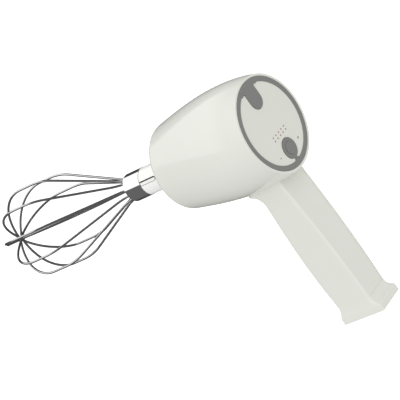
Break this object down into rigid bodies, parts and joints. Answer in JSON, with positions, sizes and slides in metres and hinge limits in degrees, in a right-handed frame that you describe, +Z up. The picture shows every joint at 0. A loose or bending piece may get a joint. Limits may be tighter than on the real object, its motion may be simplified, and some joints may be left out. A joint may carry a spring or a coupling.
{
  "type": "hand mixer",
  "caption": "Cordless hand mixer with a barrel body on an upright grip, a rear control face with two buttons, and a balloon whisk that spins and pulls out.",
  "frame": {"origin": "centre of the foot's flat resting face", "axes": "+X forward along the barrel to the whisk's tip, +Y to the left side seen from behind, +Z up"},
  "size_m": [0.2748, 0.078, 0.1894],
  "materials": {
    "shell_plastic": "glossy off-white moulded plastic",
    "panel_plastic": "satin warm grey-white plastic",
    "grey_trim": "matte mid-grey soft trim",
    "lens_plastic": "translucent reddish lens",
    "inner_plastic": "black glass-filled plastic",
    "gear_plastic": "natural acetal",
    "circuit_board": "green solder mask",
    "switch_plastic": "black plastic",
    "cell_wrap": "plastic wrapped battery can",
    "brass_contact": "plain",
    "steel": "stainless, lightly polished",
    "white_plastic": "glossy bright white plastic",
    "bright_chrome": "mirror-bright plating",
    "seal_rubber": "matte black"
  },
  "bodies": {
    "housing": {"ballast_plate": "steel", "barrel_shell": "shell_plastic", "battery_cell": "cell_wrap", "board_frame": "inner_plastic", "cell_cradle": "inner_plastic", "charge_board": "circuit_board", "charge_port": "steel", "contact_bottom": "brass_contact", "contact_top": "brass_contact", "control_board": "circuit_board", "face_panel": "panel_plastic", "foot_cap": "shell_plastic", "foot_screw_1": "steel", "foot_screw_2": "steel", "front_bearing": "brass_contact", "gear_cover": "inner_plastic", "gear_housing": "inner_plastic", "grip_back": "shell_plastic", "grip_shell": "shell_plastic", "led_array": "switch_plastic", "light_pipe": "lens_plastic", "motor_bracket": "inner_plastic", "motor_can": "steel", "motor_cap": "inner_plastic", "motor_screw_1": "steel", "motor_screw_2": "steel", "nose_bulkhead": "inner_plastic", "power_switch": "switch_plastic", "rear_bearing": "brass_contact", "shaft_seal": "seal_rubber", "trim_ring": "grey_trim", "upper_switch": "switch_plastic"},
    "upper_button": {"upper_button": "grey_trim"},
    "power_button": {"power_button": "grey_trim"},
    "upper_plunger": {"upper_plunger": "switch_plastic"},
    "power_plunger": {"power_plunger": "switch_plastic"},
    "rotor": {"armature": "steel", "motor_shaft": "steel", "sun_gear": "steel"},
    "output": {"planet_carrier": "inner_plastic", "spindle": "steel", "chuck": "white_plastic"},
    "planet_1": {"planet_gear_1": "gear_plastic"},
    "planet_2": {"planet_gear_2": "gear_plastic"},
    "planet_3": {"planet_gear_3": "gear_plastic"},
    "whisk": {"whisk_core": "white_plastic", "whisk_oring": "seal_rubber", "ferrule": "bright_chrome", "centre_rod": "steel", "rod_cap": "seal_rubber", "whisk_wire_01": "steel", "whisk_wire_02": "steel", "whisk_wire_03": "steel", "whisk_wire_04": "steel", "whisk_wire_05": "steel", "whisk_wire_06": "steel", "whisk_wire_07": "steel", "whisk_wire_08": "steel", "whisk_wire_09": "steel", "whisk_wire_10": "steel"}
  },
  "joints": [
    {"name": "upper_button_press", "type": "hinge", "parent": "housing", "child": "upper_button", "pos_m": [-0.02165, 0, 0.1798], "axis": [0, -1, 0], "range_deg": [0, 4.5], "stiffness_Nm_per_rad": 0.1, "springref_deg": -1.72},
    {"name": "power_button_press", "type": "hinge", "parent": "housing", "child": "power_button", "pos_m": [-0.02165, 0, 0.121], "axis": [0, 1, 0], "range_deg": [0, 5], "stiffness_Nm_per_rad": 0.1, "springref_deg": -1.72},
    {"name": "upper_plunger_travel", "type": "slide", "parent": "housing", "child": "upper_plunger", "axis": [1, 0, 0], "range_m": [0, 0.000748]},
    {"name": "power_plunger_travel", "type": "slide", "parent": "housing", "child": "power_plunger", "axis": [1, 0, 0], "range_m": [0, 0.00076]},
    {"name": "output_spin", "type": "hinge", "parent": "housing", "child": "output", "pos_m": [0.07725, 0, 0.1504], "axis": [1, 0, 0], "continuous": true},
    {"name": "rotor_spin", "type": "hinge", "parent": "housing", "child": "rotor", "pos_m": [0.00725, 0, 0.1504], "axis": [1, 0, 0], "continuous": true},
    {"name": "planet_1_spin", "type": "hinge", "parent": "output", "child": "planet_1", "pos_m": [0.03225, 0.012, 0.1504], "axis": [1, 0, 0], "continuous": true},
    {"name": "planet_2_spin", "type": "hinge", "parent": "output", "child": "planet_2", "pos_m": [0.03225, -0.006, 0.16079], "axis": [1, 0, 0], "continuous": true},
    {"name": "planet_3_spin", "type": "hinge", "parent": "output", "child": "planet_3", "pos_m": [0.03225, -0.006, 0.14001], "axis": [1, 0, 0], "continuous": true},
    {"name": "whisk_release", "type": "slide", "parent": "output", "child": "whisk", "axis": [1, 0, 0], "range_m": [0, 0.022]}
  ],
  "couplings": [
    {"joint": "rotor_spin", "follows": "output_spin", "ratio": 5},
    {"joint": "upper_plunger_travel", "follows": "upper_button_press", "m_per_rad": 0.0094},
    {"joint": "power_plunger_travel", "follows": "power_button_press", "m_per_rad": 0.0086},
    {"joint": "planet_1_spin", "follows": "output_spin", "ratio": -2.6667},
    {"joint": "planet_2_spin", "follows": "output_spin", "ratio": -2.6667},
    {"joint": "planet_3_spin", "follows": "output_spin", "ratio": -2.6667}
  ]
}
